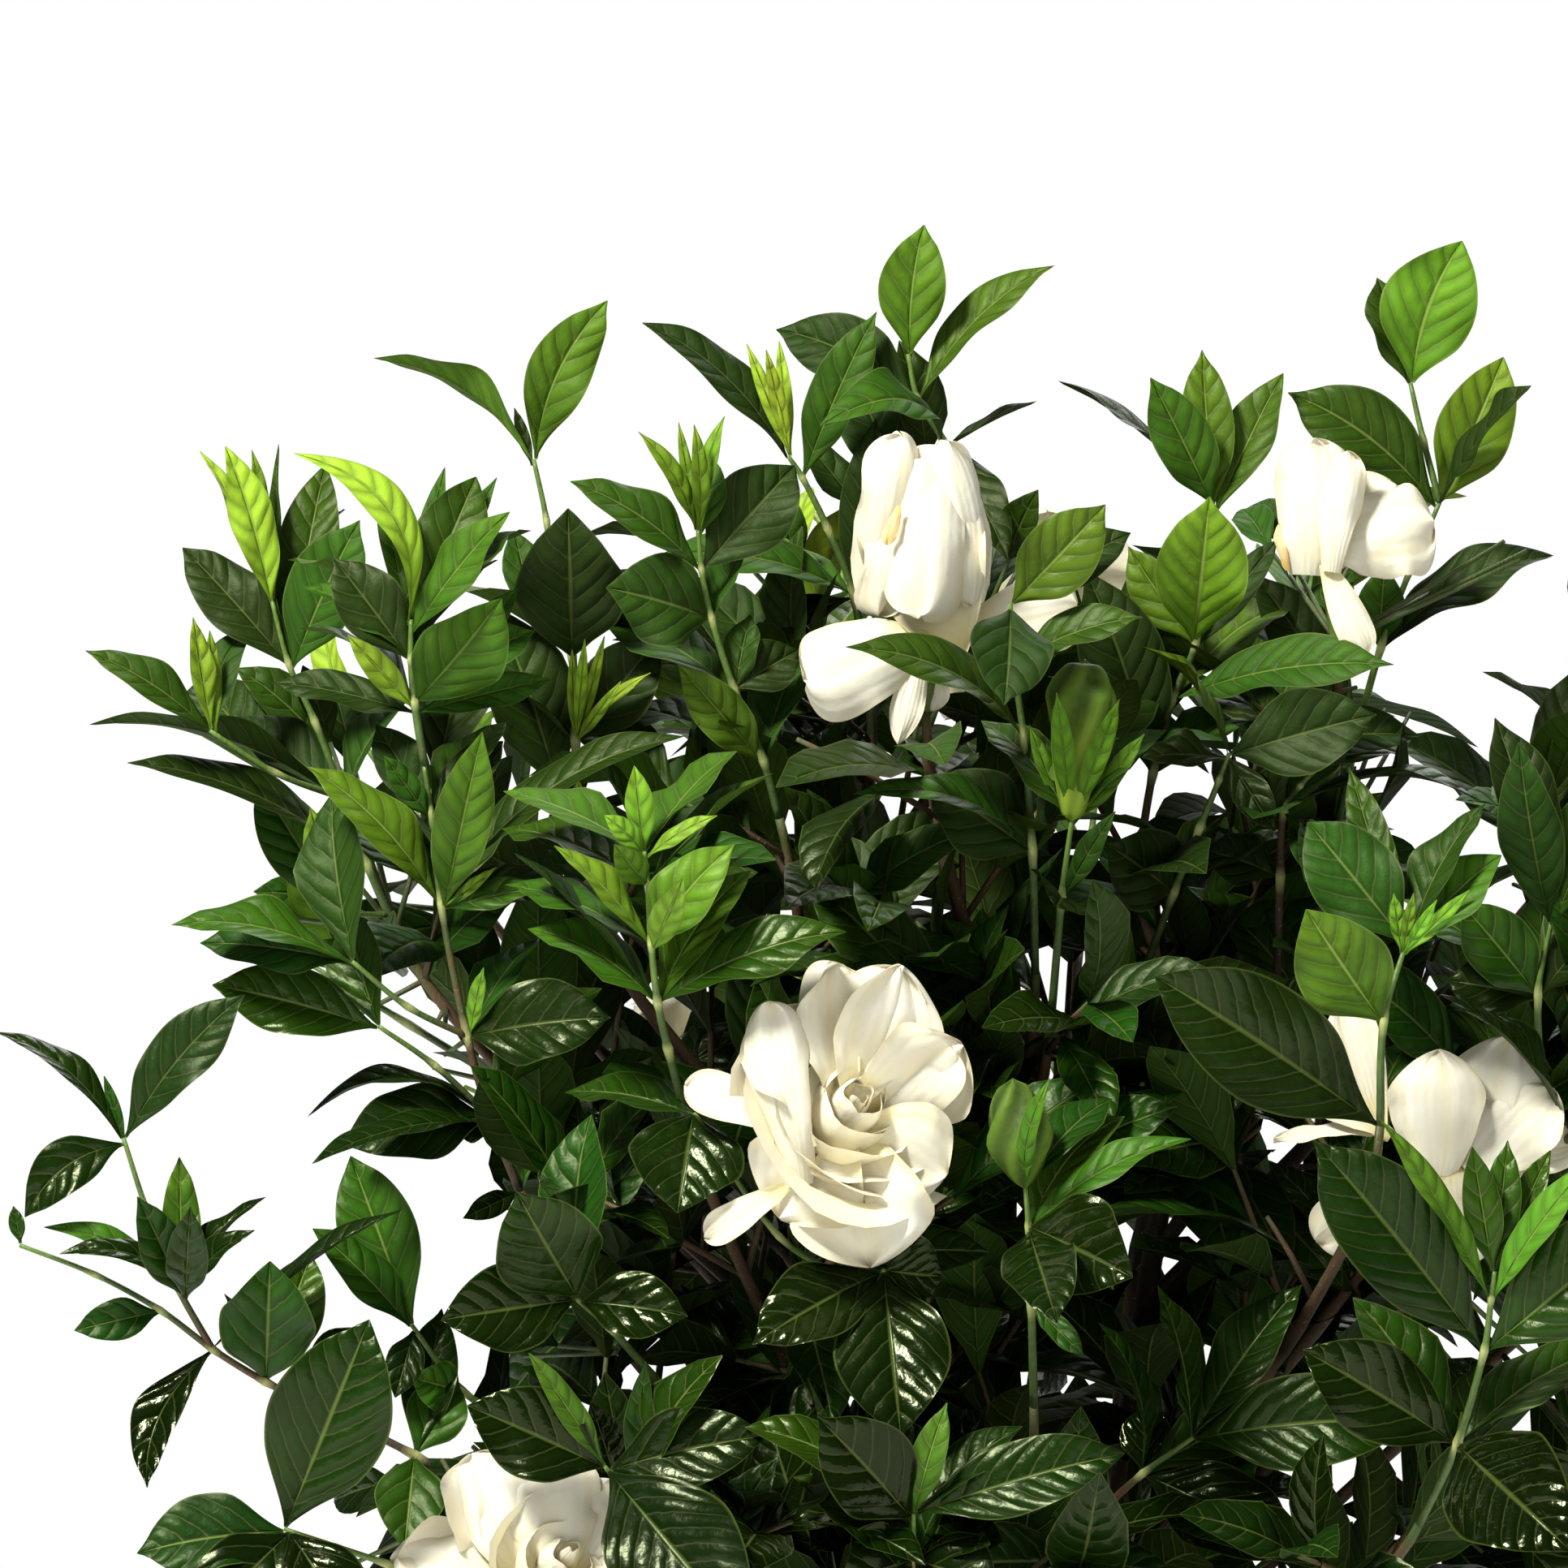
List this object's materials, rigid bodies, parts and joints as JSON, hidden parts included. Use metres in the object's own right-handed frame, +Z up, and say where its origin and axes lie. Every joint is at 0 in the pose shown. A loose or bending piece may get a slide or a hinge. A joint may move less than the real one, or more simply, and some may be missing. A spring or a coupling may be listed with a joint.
{
  "type": "potted gardenia",
  "caption": "Flowering gardenia shrub with glossy leaves and creamy double blooms in a plain round pot.",
  "frame": {"origin": "centre of the pot's underside", "axes": "+Z up along the pot's axis, -Y towards the viewer of the picture, +X to that viewer's right"},
  "size_m": [0.6123, 0.5078, 0.7145],
  "materials": {
    "leaf": "glossy leaf",
    "petal": "soft petal",
    "bark": "rough bark",
    "soil": "crumbly soil",
    "clay": "unglazed clay"
  },
  "bodies": {
    "root": {"bloom_back": "petal", "bloom_back_left": "petal", "bloom_centre": "petal", "bloom_lower_left": "petal", "bloom_right": "petal", "bloom_side": "petal", "bloom_upper": "petal", "bloom_upper_right": "petal", "pot": "clay", "shoot_beside_bloom": "leaf", "shoot_bud_lower": "leaf", "shoot_bud_upper": "leaf", "shoot_centre_bright": "leaf", "shoot_far_right": "leaf", "shoot_left_apex": "leaf", "shoot_left_arm": "leaf", "shoot_left_heart": "leaf", "shoot_left_main": "leaf", "shoot_left_olive": "leaf", "shoot_left_sprig": "leaf", "shoot_low_centre": "leaf", "shoot_low_left": "leaf", "shoot_low_left_glossy": "leaf", "shoot_low_right": "leaf", "shoot_lower_right": "leaf", "shoot_mid_left": "leaf", "shoot_other_02": "leaf", "shoot_other_04": "leaf", "shoot_other_07": "leaf", "shoot_other_09": "leaf", "shoot_other_10": "leaf", "shoot_other_12": "leaf", "shoot_other_14": "leaf", "shoot_other_17": "leaf", "shoot_other_18": "leaf", "shoot_other_19": "leaf", "shoot_other_20": "leaf", "shoot_other_22": "leaf", "shoot_other_23": "leaf", "shoot_other_25": "leaf", "shoot_right_bright": "leaf", "shoot_right_edge": "leaf", "shoot_right_streaked": "leaf", "shoot_top": "leaf", "shoot_top_right": "leaf", "shoot_under_bloom": "leaf", "shoot_upper_left": "leaf", "shoot_upper_mid": "leaf", "shoot_upper_right": "leaf", "soil": "soil", "woody_stem_1": "bark", "woody_stem_2": "bark", "woody_stem_3": "bark", "woody_stem_4": "bark", "woody_stem_5": "bark", "woody_stem_6": "bark"}
  },
  "joints": []
}
